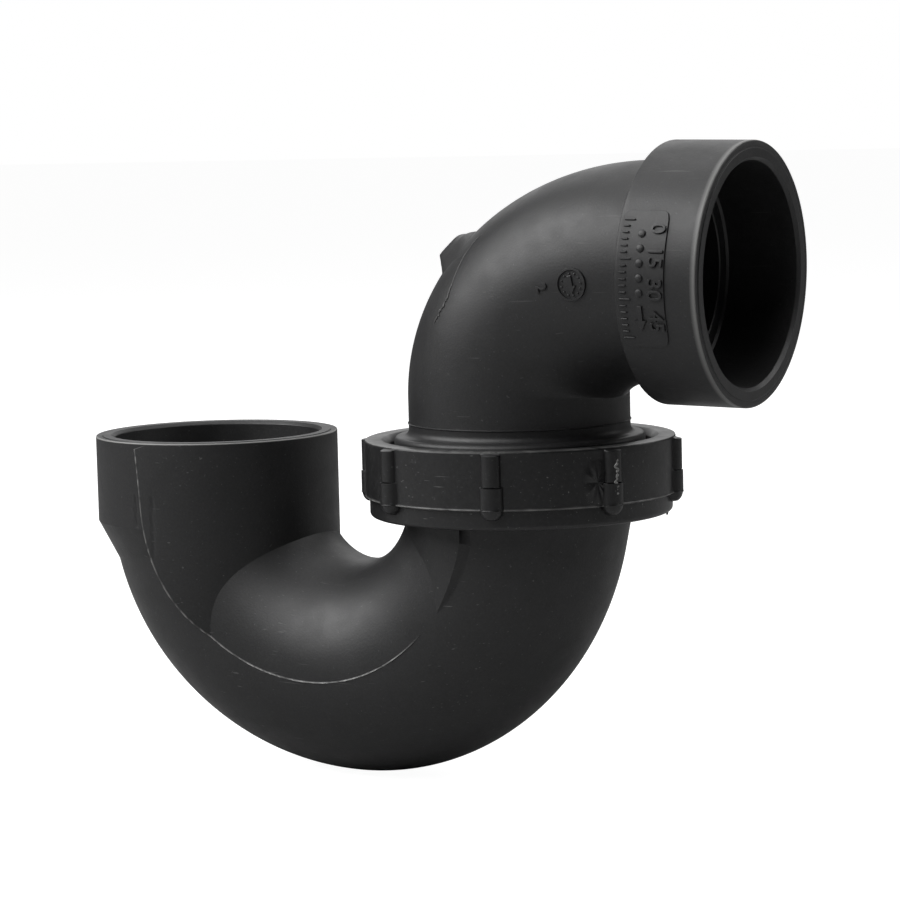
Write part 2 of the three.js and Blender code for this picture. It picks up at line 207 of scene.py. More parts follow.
# Each column has its rows set out between the creases it crosses.
RIM_TURN = (BOTTOM_Z + INLET_DROP) / INLET_DROP
LAST_RING_TURN = 2.905
low_turn = np.full(len(column_share), -0.1)
hub_foot = root(lambda turn: bend_skin(turn, column_share, False)[2] + INLET_HUB_LENGTH, low_turn, 0.6)
cone_foot = root(lambda turn: bend_skin(turn, column_share, False)[3], hub_foot + 0.03, hub_foot + 0.5)
throat_crease = root(lambda turn: bend_skin(turn, column_share, True)[3], low_turn + 0.25, 1.3)
riser_crease = root(lambda turn: -bend_skin(turn, column_share, True)[3], low_turn + 1.9, 2.88)
seam_column = int(np.argmax(at_seam))


def knots(crease, throat):
    """A crease's turn for each column: its own on one half, and the seam's on the other."""
    return np.where(column_throat == throat, crease, crease[seam_column])


knot_turns = np.array([
    np.full(len(column_share), RIM_TURN), knots(hub_foot, False), knots(cone_foot, False),
    knots(throat_crease, True), knots(riser_crease, True), np.full(len(column_share), LAST_RING_TURN),
])
knot_rows = np.array([0, 26, 35, 58, 168, 190])
row_numbers = np.arange(1, knot_rows[-1] + 1)
segment = np.clip(np.searchsorted(knot_rows, row_numbers, side="left") - 1, 0, len(knot_rows) - 2)
within = (row_numbers - knot_rows[segment]) / (knot_rows[segment + 1] - knot_rows[segment])
turns = knot_turns[segment] * (1 - within[:, None]) + knot_turns[segment + 1] * within[:, None]

x, y, z, _ = bend_skin(turns, column_share[None, :], column_throat[None, :])
broken = 0.55 + 0.45 * ripple(turns * 45, 3.1, 7.3, 1.3, 0.7)
flash = FLASH_HEIGHT * np.clip(broken, 0.05, 1) * smooth(turns, -0.2, 0.35) + 0.06
y = y + np.where(at_seam & column_throat, flash * (1 - smooth(turns, 2.2, 2.4)), 0)
DRAW_LINES = ((1.0, -12.5, -26.5), (-3.7, -12.5, -19.6))  # x, top and bottom of fine marks by the seam
DRAW_LINE_DEPTH = 0.22
DRAW_LINE_WIDTH = 0.4
for mark_x, mark_top, mark_bottom in DRAW_LINES:
    depth = DRAW_LINE_DEPTH * smooth(z, mark_bottom - 0.5, mark_bottom + 0.5)
    depth = depth * (1 - smooth(z, mark_top - 0.5, mark_top + 0.5))
    y = y - depth * np.exp(-(((x - mark_x) / DRAW_LINE_WIDTH) ** 2)) * ~at_seam
FEED_MARK_X = -26.2  # a short groove in the hub's front where the mould was fed
FEED_MARK_WIDTH = 0.55
FEED_MARK_DEPTH = 1.1
slot = np.exp(-(((x - FEED_MARK_X) / FEED_MARK_WIDTH) ** 2)) * (column_side < 0) * ~column_throat
slot = slot * smooth(z, -16.6, -16.0) * (1 - smooth(z, -12.0, -11.4))
shrink = 1 - FEED_MARK_DEPTH * slot / HUB_RADIUS
x, y = x * shrink, y * shrink
bend_outside = np.stack([x, y * column_side, z], -1)
bend_wear = np.where(at_seam & column_throat, np.clip(broken, 0, 1) ** 2, 0) * (1 - smooth(turns, 2.1, 2.3))


def rings(outline, angle, axis_x=0.0):
    """Rings about an upright axis, one for each [radius, height] of an outline; the angle gives each
    column's direction from the axis, 0 towards +X."""
    radius, height = np.array(outline, float).T[:, :, None]
    return np.stack([axis_x + radius * np.cos(angle), radius * np.sin(angle), height + 0 * angle], -1)


def thread_ridge(angle, height, turns_long, phase):
    """How much of a helical thread's full height stands at an angle and a height, from 0 to 1.

    The distance up to the helix is taken for each whole turn below and above; the ridge is a
    trapezium across it, and grows and dies over the run-out at its ends.
    """
    around = (angle / (2 * math.pi) - phase) % 1
    flank = (THREAD_ROOT_WIDTH - THREAD_CREST_WIDTH) / 2
    stands = 0
    for lap in range(math.ceil(turns_long) + 1):
        turn = around + lap
        away = np.abs(height - THREAD_BOTTOM - PITCH * turn)
        ends = smooth(np.minimum(turn, turns_long - turn), 0, THREAD_RUN_OUT)
        stands = np.maximum(stands, np.clip((THREAD_ROOT_WIDTH / 2 - away) / flank, 0, 1) * ends)
    return stands


def arc(centre, radius, start, end, steps):
    """Points of an arc in an outline, [radius, height] each, by angle in degrees."""
    angle = np.radians(np.linspace(start, end, steps + 1))
    return [[centre[0] + radius * math.cos(a), centre[1] + radius * math.sin(a)] for a in angle]


last_ring = bend_outside[-1]
neck_radius = np.where(column_throat, RISER_STEP_RADIUS, RISER_LEG_RADIUS + 0.2)
ring_angle = np.arctan2(last_ring[:, 1], last_ring[:, 0] - UNION_X)
under_collar = np.stack([
    UNION_X + neck_radius * np.cos(ring_angle), neck_radius * np.sin(ring_angle),
    np.full(len(column_share), COLLAR_BOTTOM - 0.4),
], -1)
blend = np.linspace(0, 1, 6)[1:, None, None]
to_collar = last_ring * (1 - blend) + under_collar * blend
collar_foot = rings([
    [RISER_STEP_RADIUS + 0.7, COLLAR_BOTTOM], [COLLAR_RADIUS - 0.5, COLLAR_BOTTOM],
    [COLLAR_RADIUS - 0.15, COLLAR_BOTTOM + 0.15],
], ring_angle, UNION_X)
thread_heights = np.linspace(COLLAR_BOTTOM + 0.35, COLLAR_TOP - 0.3, 44)[:, None]
collar_ridge = thread_ridge(ring_angle, thread_heights, COLLAR_THREAD_TURNS, 0)
thread_radius = COLLAR_RADIUS + THREAD_HEIGHT * collar_ridge
collar_thread = np.stack([
    UNION_X + thread_radius * np.cos(ring_angle), thread_radius * np.sin(ring_angle),
    thread_heights + 0 * thread_radius,
], -1)
collar_top = rings([
    [COLLAR_RADIUS - 0.1, COLLAR_TOP - 0.08], [COLLAR_RADIUS - 0.35, COLLAR_TOP],
    [CUP_RADIUS + 0.4, COLLAR_TOP], [CUP_RADIUS, COLLAR_TOP - 0.4], [CUP_RADIUS, CUP_BOTTOM + 0.1],
    [CUP_RADIUS - 0.2, CUP_BOTTOM - 0.1], [BORE_RADIUS + 0.2, CUP_CONE_BOTTOM + 0.1],
    [BORE_RADIUS, CUP_CONE_BOTTOM - 0.2],
], ring_angle, UNION_X)
bore_turns = np.linspace(2.95, 0.1, 64)[:, None]
x0, z0, way_x, way_z = bend_line(bore_turns)
bore_angle = np.where(column_throat, math.pi / 2 * (1 - column_share), math.pi / 2 * (1 + column_share))
toward = BORE_RADIUS * np.cos(bore_angle)
across = column_side * BORE_RADIUS * np.sin(bore_angle)
bend_bore = np.stack([x0 + way_x * toward, across + 0 * x0, z0 + way_z * toward], -1)


def socket_outline():
    """A pipe socket from its stop to its chamfered mouth, [radius, depth below the rim] each."""
    return [
        [BORE_RADIUS, -SOCKET_DEPTH - 1.2], [BORE_RADIUS, -SOCKET_DEPTH - 0.25],
        [BORE_RADIUS + 0.25, -SOCKET_DEPTH], [SOCKET_STOP_RADIUS - 0.5, -SOCKET_DEPTH],
        [SOCKET_STOP_RADIUS, -SOCKET_DEPTH + 0.5],
        *([SOCKET_STOP_RADIUS + (SOCKET_MOUTH_RADIUS - SOCKET_STOP_RADIUS) * share,
           -SOCKET_DEPTH + 0.5 + (SOCKET_DEPTH - 0.6 - SOCKET_CHAMFER) * share]
          for share in np.linspace(0.1, 1, 10)),
        [SOCKET_MOUTH_RADIUS + 0.08, -SOCKET_CHAMFER + 0.05],
        [SOCKET_MOUTH_RADIUS + SOCKET_CHAMFER - 0.1, -0.12],
        [SOCKET_MOUTH_RADIUS + SOCKET_CHAMFER + 0.05, 0],
    ]


def rim_outline():
    """A hub's rim from the socket's mouth to its outside: flat, a fine step down, and a broken edge."""
    return [
        [HUB_RADIUS - 1.75, 0], [HUB_RADIUS - 1.6, -0.04], [HUB_RADIUS - 1.5, -0.22],
        [HUB_RADIUS - 1.1, -0.26], [HUB_RADIUS - RIM_EDGE - 0.1, -0.12],
        *arc((HUB_RADIUS - RIM_EDGE, -RIM_EDGE - 0.05), RIM_EDGE, 80, 0, 5),
    ]


hub_angle = np.arctan2(column_side * np.sin(bore_angle), np.cos(bore_angle))
inlet_inside = rings(socket_outline() + rim_outline(), hub_angle)
bend_points = np.concatenate([
    inlet_inside, bend_outside[1:], to_collar, collar_foot, collar_thread, collar_top, bend_bore])
wear_rows = np.zeros(bend_points.shape[:2])
wear_rows[len(inlet_inside):len(inlet_inside) + len(bend_outside) - 1] = bend_wear[1:]
wear_rows[len(inlet_inside) - 5:len(inlet_inside) - 1] = 0.45


def skin(name, points, wear_and_highlight=None, crease=32):
    """A closed skin: rows x columns of points in mm, joined into rings both ways like a ring doughnut. The
    pale value at each point, 0 to 1, whitens the plastic there: whitened flash and rubbing, and on a few
    edges a painted highlight."""
    rows, columns = points.shape[:2]
    row, column = np.meshgrid(np.arange(rows), np.arange(columns), indexing="ij")
    row_after, column_after = (row + 1) % rows, (column + 1) % columns
    corners = [row * columns + column, row * columns + column_after,
               row_after * columns + column_after, row_after * columns + column]
    mesh = bpy.data.meshes.new(name)
    faces = np.stack(corners, -1).reshape(-1, 4).tolist()
    mesh.from_pydata((points.reshape(-1, 3) * MM).tolist(), [], faces)
    return finish_mesh(mesh, None if wear_and_highlight is None else wear_and_highlight.ravel(), crease)


def finish_mesh(mesh, wear_and_highlight=None, crease=32):
    """Shades a mesh smooth but for edges sharper than crease degrees, turns it outwards, gives it its pale
    value for wear and painted highlights, and puts it in the scene."""
    places = np.empty(3 * len(mesh.vertices))
    mesh.vertices.foreach_get("co", places)
    places = places.reshape(-1, 3)
    mesh.calc_loop_triangles()
    triangles = np.empty(3 * len(mesh.loop_triangles), int)
    mesh.loop_triangles.foreach_get("vertices", triangles)
    a, b, c = places[triangles.reshape(-1, 3)].transpose(1, 0, 2)
    if np.einsum("ij,ij->", a, np.cross(b, c)) < 0:
        mesh.flip_normals()
    attribute = mesh.attributes.new("wear_and_highlight", "FLOAT", "POINT")
    attribute.data.foreach_set("value", np.zeros(len(places)) if wear_and_highlight is None else wear_and_highlight)
    mesh.shade_smooth()
    mesh.set_sharp_from_angle(angle=math.radians(crease))
    piece = bpy.data.objects.new(mesh.name, mesh)
    bpy.context.collection.objects.link(piece)
    return piece


def linear(colour, strength=1.0):
    """An sRGB hex colour as linear red, green, blue and alpha."""
    channels = [int(colour[i:i + 2], 16) / 255 for i in (1, 3, 5)]
    curve = [c / 12.92 if c <= 0.04045 else ((c + 0.055) / 1.055) ** 2.4 for c in channels]
    return (*(strength * c for c in curve), 1.0)


def add(tree, kind, values=None, links=None, **settings):
    """Adds a node of this kind, with its settings, its socket values and the outputs linked to it."""
    made = tree.nodes.new(kind)
    for name, value in settings.items():
        setattr(made, name, value)
    for socket, value in (values or {}).items():
        made.inputs[socket].default_value = value
    for socket, output in (links or {}).items():
        tree.links.new(output, made.inputs[socket])
    return made


def noise(tree, place, size_mm, detail, rough=0.5):
    """The factor of a noise whose lumps are about size_mm across, at a place."""
    values = {"Scale": 1 / (size_mm * MM), "Detail": detail, "Roughness": rough}
    return add(tree, "ShaderNodeTexNoise", values, {"Vector": place}).outputs["Fac"]


# Acrylonitrile butadiene styrene, black, as moulded: the steel was spark eroded to a fine matt, so the skin
# is satin with a soft wide sheen, and rubbing or a torn parting line turns it pale grey. The same pale grey
# also paints highlights on a few edges and beads.
def moulded_abs(name, dark, light, matt, polished, grain_mm, grain_depth, scratches):
    """Black moulded ABS. A broad noise drifts between two near blacks and between two roughnesses,
    a fine noise of grain_mm gives the eroded texture, and stretched noises draw the scratches."""
    material = bpy.data.materials.new(name)
    material.use_nodes = True
    tree = material.node_tree
    tree.nodes.clear()
    place = add(tree, "ShaderNodeTexCoord").outputs["Object"]
    drift = noise(tree, place, 22, 3)
    grain = noise(tree, place, grain_mm, 2, 0.6)
    dust = noise(tree, place, 0.8, 2, 0.7)
    smear = noise(tree, place, 7, 5, 0.65)
    base = add(tree, "ShaderNodeMix", {"A": linear(dark), "B": linear(light)},
               {"Factor": drift}, data_type="RGBA")
    fine = add(tree, "ShaderNodeMapRange", {"From Min": 0.35, "From Max": 0.75, "To Max": 0.16},
               {"Value": grain})
    grained = add(tree, "ShaderNodeMix", {"B": linear("#3c3c3d")},
                  {"Factor": fine.outputs[0], "A": base.outputs["Result"]}, data_type="RGBA")
    specks = add(tree, "ShaderNodeMapRange", {"From Min": 0.68, "From Max": 0.76, "To Max": 0.4},
                 {"Value": dust})
    dusty = add(tree, "ShaderNodeMix", {"B": linear("#5a5a5b")},
                {"Factor": specks.outputs[0], "A": grained.outputs["Result"]}, data_type="RGBA")
    # The pale attribute: whitened flash and rubbing, and painted highlights on a few edges and beads.
    wear_and_highlight_node = add(tree, "ShaderNodeAttribute", attribute_name="wear_and_highlight")
    scratch_marks = []
    for turned, stretch, seed in ((0.5, 60, 3.0), (-0.9, 75, 11.0), (1.9, 50, 19.0)):
        turned_place = add(tree, "ShaderNodeMapping",
                           {"Rotation": (turned, turned * 0.7, turned * 1.3), "Location": (seed, seed, 0),
                            "Scale": (stretch, 2300, 1500)}, {"Vector": place})
        streaks = add(tree, "ShaderNodeTexNoise", {"Scale": 1.0, "Detail": 1},
                      {"Vector": turned_place.outputs[0]})
        scratch_marks.append(add(tree, "ShaderNodeMapRange",
                                 {"From Min": 0.77 - 0.03 * scratches, "From Max": 0.82, "To Max": 1.0},
                                 {"Value": streaks.outputs["Fac"]}).outputs[0])
    scratched = add(tree, "ShaderNodeMath", links={0: scratch_marks[0], 1: scratch_marks[1]},
                    operation="MAXIMUM")
    scratched = add(tree, "ShaderNodeMath", links={0: scratched.outputs[0], 1: scratch_marks[2]},
                    operation="MAXIMUM")
    scratch_tint = add(tree, "ShaderNodeMath", {1: 0.22 * scratches}, {0: scratched.outputs[0]},
                       operation="MULTIPLY")
    pale = add(tree, "ShaderNodeMath", links={0: scratch_tint.outputs[0], 1: wear_and_highlight_node.outputs["Fac"]},
               operation="MAXIMUM")
    # Pale grey for scratches, wear and the painted highlights.
    colour = add(tree, "ShaderNodeMix", {"B": linear("#b4b4b2")},
                 {"Factor": pale.outputs[0], "A": dusty.outputs["Result"]}, data_type="RGBA")
    roughness = add(tree, "ShaderNodeMapRange", {"From Min": 0.3, "From Max": 0.7, "To Min": polished,
                                                 "To Max": matt}, {"Value": smear})
    depth = add(tree, "ShaderNodeMath", {1: -0.6 * scratches}, {0: scratched.outputs[0], 2: grain},
                operation="MULTIPLY_ADD")
    bump = add(tree, "ShaderNodeBump", {"Strength": 1.0, "Distance": grain_depth * MM},
               {"Height": depth.outputs[0]})
    shader = add(tree, "ShaderNodeBsdfPrincipled", {"IOR": 1.53, "Specular IOR Level": 0.5},
                 {"Base Color": colour.outputs["Result"], "Roughness": roughness.outputs[0],
                  "Normal": bump.outputs[0]})
    add(tree, "ShaderNodeOutputMaterial", links={"Surface": shader.outputs[0]})
    return material


bend_abs = moulded_abs("black_abs_spark_eroded_bend", "#101011", "#1a1a1b", 0.56, 0.44, 0.5, 0.03, 0.5)
bend = skin("trap_bend_skin", bend_points, wear_rows, 9)
bend.data.materials.append(bend_abs)
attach(bend, "bend")
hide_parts("trap_bend")

# ---------------------------------------------------------------------------------------------
# Elbow. One moulding in black ABS: a spigot and flange that the union nut clamps, a shoulder disc,
# a neck, a bend on a quarter ellipse, and the outlet hub, whose axis falls a quarter inch to the foot.

elbow_low = np.array(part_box("trap_elbow")[0]) / MM

NECK_RADIUS = 24.9
OUTLET_TUBE_RADIUS = 24.1
ELBOW_START_Z = 11
ELBOW_REACH = 35
ELBOW_RISE = 27.5
HUB_AXIS_Z = 39.0  # where the outlet's axis crosses the union's
OUTLET_LENGTH = 58
OUTLET_HUB_LENGTH = 18.9
OUTLET_FALL = math.atan(1 / 48)
PIVOT_X = 37.0  # the sections through the bend fan out from here, beyond the throat
PIVOT_Z = 8.0
SPIGOT_RADIUS = 24.6
FLANGE_RADIUS = 31.2
DISC_RADIUS = 28.2
SPIGOT_BOTTOM = elbow_low[2]
FLANGE_BOTTOM = washer_high[2] + CLEARANCE
FLANGE_THICK = 3
FLANGE_TOP = FLANGE_BOTTOM + FLANGE_THICK
DISC_TOP = 2.1

elbow_end = math.pi / 2 + math.atan(math.tan(OUTLET_FALL) * ELBOW_REACH / ELBOW_RISE)
ELBOW_COLUMNS = 216
elbow_around = np.linspace(0, 2 * math.pi, ELBOW_COLUMNS, endpoint=False)
outlet_axis = np.array([math.cos(OUTLET_FALL), 0, -math.sin(OUTLET_FALL)])
outlet_up = np.array([math.sin(OUTLET_FALL), 0, math.cos(OUTLET_FALL)])
FRONT = np.array([0, -1.0, 0])
outlet_drop = math.tan(OUTLET_FALL) * OUTLET_LENGTH
outlet_rim = np.array([UNION_X + OUTLET_LENGTH, 0, HUB_AXIS_Z - outlet_drop])


def elbow_line(turn):
    """The elbow's centre line: upright below turn 0, a quarter ellipse to the end, and straight on."""
    bent = np.clip(turn, 0, elbow_end)
    past = np.maximum(turn - elbow_end, 0)
    x = ELBOW_REACH * (1 - np.cos(bent)) + past * ELBOW_REACH * math.sin(elbow_end)
    z = ELBOW_START_Z + ELBOW_RISE * np.sin(bent) + np.minimum(turn, 0) * ELBOW_RISE
    z = z + past * ELBOW_RISE * math.cos(elbow_end)
    radius = NECK_RADIUS + (OUTLET_TUBE_RADIUS - NECK_RADIUS) * bent / elbow_end
    return x, z, radius


line_turns = np.linspace(-0.9, elbow_end + 0.6, 420)
line_x, line_z, line_radius = elbow_line(line_turns)


def half_width_squared(x, z):
    """The greatest R^2 - d^2 over the centre line: the square of the tube's half width above (x, z)."""
    reach = line_radius**2 - (x[..., None] - line_x) ** 2 - (z[..., None] - line_z) ** 2
    return reach.max(-1)


def fan_section(fan):
    """The tube's skin in sections that all stand on one pivot beyond the throat.

    In each section the tube lies between two ends, where its half width is nothing. The distance
    from the pivot is middle + half cos(around), and the half width there is the skin's y.
    """
    way_x, way_z = -np.cos(fan), np.sin(fan)

    def over(distance):
        return half_width_squared(PIVOT_X + distance * way_x, PIVOT_Z + distance * way_z)

    centre = PIVOT_X + (30.5 - PIVOT_X) * fan / fan.max()
    far = root(over, centre, centre + 34)
    near = -root(lambda back: over(-back), -centre, 0 * centre)
    middle, half = (far + near) / 2, (far - near) / 2
    distance = middle[:, None] + half[:, None] * np.cos(elbow_around)
    x, z = PIVOT_X + distance * way_x[:, None], PIVOT_Z + distance * way_z[:, None]
    y = -np.sign(np.sin(elbow_around)) * np.sqrt(np.maximum(half_width_squared(x, z), 0))
    y[:, [0, ELBOW_COLUMNS // 2]] = 0
    return np.stack([UNION_X + x, y, z], -1)


def on_outlet(outline):
    """Rings about the outlet's axis, one for each [radius, distance past the rim] of an outline."""
    radius, along = np.array(outline, float).T[:, :, None, None]
    spoke = np.cos(elbow_around)[:, None] * outlet_up + np.sin(elbow_around)[:, None] * FRONT
    return outlet_rim + along * outlet_axis + radius * spoke


elbow_foot = rings([
    [BORE_RADIUS + 0.3, SPIGOT_BOTTOM], [SPIGOT_RADIUS - 0.6, SPIGOT_BOTTOM],
    [SPIGOT_RADIUS, SPIGOT_BOTTOM + 0.6],
    [SPIGOT_RADIUS, FLANGE_BOTTOM - 0.2], [SPIGOT_RADIUS + 0.2, FLANGE_BOTTOM],
    [FLANGE_RADIUS - 0.2, FLANGE_BOTTOM], [FLANGE_RADIUS, FLANGE_BOTTOM + 0.2],
    [FLANGE_RADIUS, FLANGE_TOP - 0.2], [FLANGE_RADIUS - 0.2, FLANGE_TOP],
    [DISC_RADIUS + 0.3, FLANGE_TOP], [DISC_RADIUS, FLANGE_TOP + 0.3],
    *arc((DISC_RADIUS - 1, DISC_TOP - 1), 1, 0, 90, 7),
    *arc((NECK_RADIUS + 1.5, DISC_TOP + 1.55), 1.5, 270, 180, 7),
    [NECK_RADIUS, 4.5], [NECK_RADIUS + 0.02, 4.72], [NECK_RADIUS + 0.22, 4.86], [NECK_RADIUS + 0.22, 4.96],
    [NECK_RADIUS + 0.02, 5.1], [NECK_RADIUS, 5.4], [NECK_RADIUS, 6.5], [NECK_RADIUS, 7.3],
], math.pi + elbow_around, UNION_X)
fan_angles = np.linspace(0, math.pi / 2 + OUTLET_FALL, 118)
elbow_bend = fan_section(fan_angles)
shoulder = -OUTLET_HUB_LENGTH
outlet_outside = on_outlet([
    [OUTLET_TUBE_RADIUS, shoulder - 2.2], [OUTLET_TUBE_RADIUS - 0.05, shoulder - 2.1],
    [OUTLET_TUBE_RADIUS - 0.75, shoulder - 1.85], [OUTLET_TUBE_RADIUS - 0.75, shoulder - 0.35],
    [OUTLET_TUBE_RADIUS - 0.1, shoulder], [HUB_RADIUS - 0.5, shoulder],
    *arc((HUB_RADIUS - 0.45, shoulder + 0.45), 0.45, 280, 360, 4),
    *([HUB_RADIUS, shoulder + 0.5 + (OUTLET_HUB_LENGTH - 1.1) * share] for share in np.linspace(0.05, 1, 20)),
    *rim_outline()[::-1], *socket_outline()[::-1],
])
bore_turn = np.linspace(elbow_end, -0.2, 56)[:, None]
x0, z0, _ = elbow_line(bore_turn)
slope_x = ELBOW_REACH * np.sin(np.maximum(bore_turn, 0))
slope_z = ELBOW_RISE * np.cos(np.maximum(bore_turn, 0))
length = np.hypot(slope_x, slope_z)
toward = BORE_RADIUS * np.cos(elbow_around)
elbow_bore = np.stack([
    UNION_X + x0 - toward * slope_z / length, -BORE_RADIUS * np.sin(elbow_around) + 0 * x0,
    z0 + toward * slope_x / length], -1)
spigot_bore = rings([[BORE_RADIUS, 2], [BORE_RADIUS, SPIGOT_BOTTOM + 0.3]], math.pi + elbow_around, UNION_X)
elbow_points = np.concatenate([elbow_foot, elbow_bend, outlet_outside, elbow_bore, spigot_bore])
elbow_wear = np.zeros(elbow_points.shape[:2])
rim_row = len(elbow_foot) + len(elbow_bend) + 30
elbow_wear[rim_row:rim_row + 5] = 0.3

elbow_abs = moulded_abs("black_abs_spark_eroded_elbow", "#121213", "#1c1c1d", 0.54, 0.42, 0.45, 0.03, 0.3)
elbow = skin("trap_elbow_skin", elbow_points, elbow_wear, 14)
elbow.data.materials.append(elbow_abs)
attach(elbow, "elbow")
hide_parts("trap_elbow")

# ---------------------------------------------------------------------------------------------
# Gate lug. The fan-shaped stub on the back of the elbow's bend where the mould was fed, cut off
# flat; its sides run out on the tube. It is one with the elbow, in the same ABS.

LUG_TURN = 0.37 * elbow_end
LUG_TOP_HEIGHT = 3.1
LUG_TILT = -0.13  # the cut falls away towards the outlet
LUG_WALLS = (  # half length along the bend, half width, height over the back, shift along the bend
    (6.2, 15.4, -5.6, 1.65), (6.0, 12.8, -3.6, 1.5), (5.8, 10.2, -1.6, 1.35), (5.5, 8.2, 0.0, 1.15),
    (5.0, 7.2, 0.8, 0.8), (4.5, 6.1, 1.6, 0.45), (4.05, 5.1, 2.4, 0.15), (3.85, 4.6, 2.8, 0.0),
    (3.75, 4.45, 2.98, 0.0), (3.55, 4.2, 3.08, 0.0), (2.8, 3.5, LUG_TOP_HEIGHT, 0.0),
    (1.4, 1.8, LUG_TOP_HEIGHT, 0.0),
)


def loop_block(stations, corner_power, count=96):
    """Stacked rounded rectangles, each [half length, half width, height, shift].

    A loop is the superellipse |x/a|^n + |y/b|^n = 1 at even steps of angle, so n, the corner power,
    sets how square its corners are.
    """
    angle = np.linspace(0, 2 * math.pi, count, endpoint=False)
    c, s = np.cos(angle), np.sin(angle)
    scale = (np.abs(c) ** corner_power + np.abs(s) ** corner_power) ** (-1 / corner_power)
    a, b, height, shift = np.array(stations, float).T[:, :, None]
    return np.stack([a * scale * c + shift, b * scale * s, height + 0 * c], -1)


def joined(name, blocks, texts=(), wear_and_highlight=0.0):
    """One mesh from blocks of rows x columns of points, each closed by a face at both ends, and from
    texts, which are points with their faces. Every closed shell is turned to face outwards."""
    points, faces, count = [], [], 0
    for block in blocks:
        rows, columns = block.shape[:2]
        row, column = np.meshgrid(np.arange(rows - 1), np.arange(columns), indexing="ij")
        after = (column + 1) % columns
        corners = [row * columns + column, row * columns + after, (row + 1) * columns + after,
                   (row + 1) * columns + column]
        faces += (count + np.stack(corners, -1).reshape(-1, 4)).tolist()
        faces += [list(range(count, count + columns)),
                  list(range(count + (rows - 1) * columns, count + rows * columns))]
        points.append(block.reshape(-1, 3))
        count += rows * columns
    for text_points, text_faces in texts:
        faces += [[count + corner for corner in face] for face in text_faces]
        points.append(text_points)
        count += len(text_points)
    mesh = bpy.data.meshes.new(name)
    mesh.from_pydata((np.concatenate(points) * MM).tolist(), [], faces)
    shells = bmesh.new()
    shells.from_mesh(mesh)
    bmesh.ops.remove_doubles(shells, verts=shells.verts, dist=0.002 * MM)
    bmesh.ops.recalc_face_normals(shells, faces=shells.faces)
    shells.to_mesh(mesh)
    shells.free()
    return finish_mesh(mesh, np.full(len(mesh.vertices), wear_and_highlight))


def on_elbow(local, turn, around):
    """Puts [round the tube, along the bend, lift] on the elbow's skin, from a place at a turn of the
    bend and an angle round the tube, 0 at the back and a right angle at the front."""
    speed = math.hypot(ELBOW_REACH * math.sin(turn), ELBOW_RISE * math.cos(turn))
    turns = turn + local[..., 1] / speed
    x, z, radius = elbow_line(turns)
    along_x, along_z = ELBOW_REACH * np.sin(turns), ELBOW_RISE * np.cos(turns)
    length = np.hypot(along_x, along_z)
    angle = around + local[..., 0] / radius
    radius = radius + local[..., 2]
    back = radius * np.cos(angle)
    return np.stack([UNION_X + x - back * along_z / length, -radius * np.sin(angle),
                     z + back * along_x / length], -1)


lug_x, lug_z, lug_tube = elbow_line(LUG_TURN)
lug_along = np.array([ELBOW_REACH * math.sin(LUG_TURN), 0, ELBOW_RISE * math.cos(LUG_TURN)])
lug_along = lug_along / np.linalg.norm(lug_along)
lug_out = np.array([-lug_along[2], 0, lug_along[0]])
lug_seat = np.array([UNION_X + lug_x, 0, lug_z]) + lug_tube * lug_out
lug_local = loop_block(LUG_WALLS, 5)
lug_share = np.clip(lug_local[..., 2:] / LUG_TOP_HEIGHT, 0, 1)
lug_rise = lug_local[..., 2:] + LUG_TILT * lug_local[..., :1] * lug_share
lug_points = lug_seat + lug_local[..., :1] * lug_along + lug_local[..., 1:2] * FRONT + lug_rise * lug_out
gate_lug = joined("elbow_gate_lug", [lug_points])
gate_lug.data.materials.append(elbow_abs)
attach(gate_lug, "elbow")

# ---------------------------------------------------------------------------------------------
# Size marks. Cut in the mould, so they stand up on the outlet hub's front: a low pad, a row of
# numerals, five dots with a flow arrow, and a row of divisions. One with the elbow, in the same ABS.

PAD_CENTRE = math.radians(89.5)  # round the hub from its top
PAD_ALONG = -12.6  # from the rim
PAD_HALF_ROUND = 14.8
PAD_HALF_LONG = 5.4
PAD_LIFT = 0.3
PAD_ROOT = -0.4
MARK_LIFT = 0.42
NUMERAL_HEIGHT = 3.3
NUMERAL_ROW = 3.2  # from the pad's middle towards the rim
DOT_ROW = -0.3
DIVISION_ROW = -3.6
DOT_RADIUS = 0.85
EDGE_BREAK = 0.08  # the bevel on the marks' top edges


def on_hub(local):
    """Puts [round the hub, towards the rim, lift] on the outlet hub, from the pad's middle."""
    angle = PAD_CENTRE + local[..., 0] / HUB_RADIUS
    spoke = np.cos(angle)[..., None] * outlet_up + np.sin(angle)[..., None] * FRONT
    along = (PAD_ALONG + local[..., 1])[..., None]
    return outlet_rim + along * outlet_axis + (HUB_RADIUS + local[..., 2:]) * spoke


def numerals(body, height, lift, low):
    """Numerals from the built-in font as [x, y, lift] points in mm and their faces."""
    curve = bpy.data.curves.new("numerals", "FONT")
    curve.body = body
    curve.size = height / 0.7
    curve.align_x = "CENTER"
    curve.align_y = "CENTER"
    curve.extrude = (lift - low) / 2 - 0.05
    curve.bevel_depth = 0.05
    curve.resolution_u = 5
    holder = bpy.data.objects.new("numerals", curve)
    mesh = bpy.data.meshes.new_from_object(holder)
    points = np.empty(3 * len(mesh.vertices))
    mesh.vertices.foreach_get("co", points)
    points = points.reshape(-1, 3)
    points[:, 2] += (lift + low) / 2
    faces = [list(face.vertices) for face in mesh.polygons]
    bpy.data.objects.remove(holder)
    bpy.data.meshes.remove(mesh)
    bpy.data.curves.remove(curve)
    return points, faces


def dot(x, y, radius, lift, low):
    """A low round dot: a short drum with a domed top."""
    dome = [[radius * math.cos(a), radius * math.cos(a), low + (lift - low) * (0.6 + 0.4 * math.sin(a)), 0]
            for a in np.linspace(0, 1.45, 5)]
    return loop_block([[radius, radius, low, 0]] + dome, 2, 20) + np.array([x, y, 0])


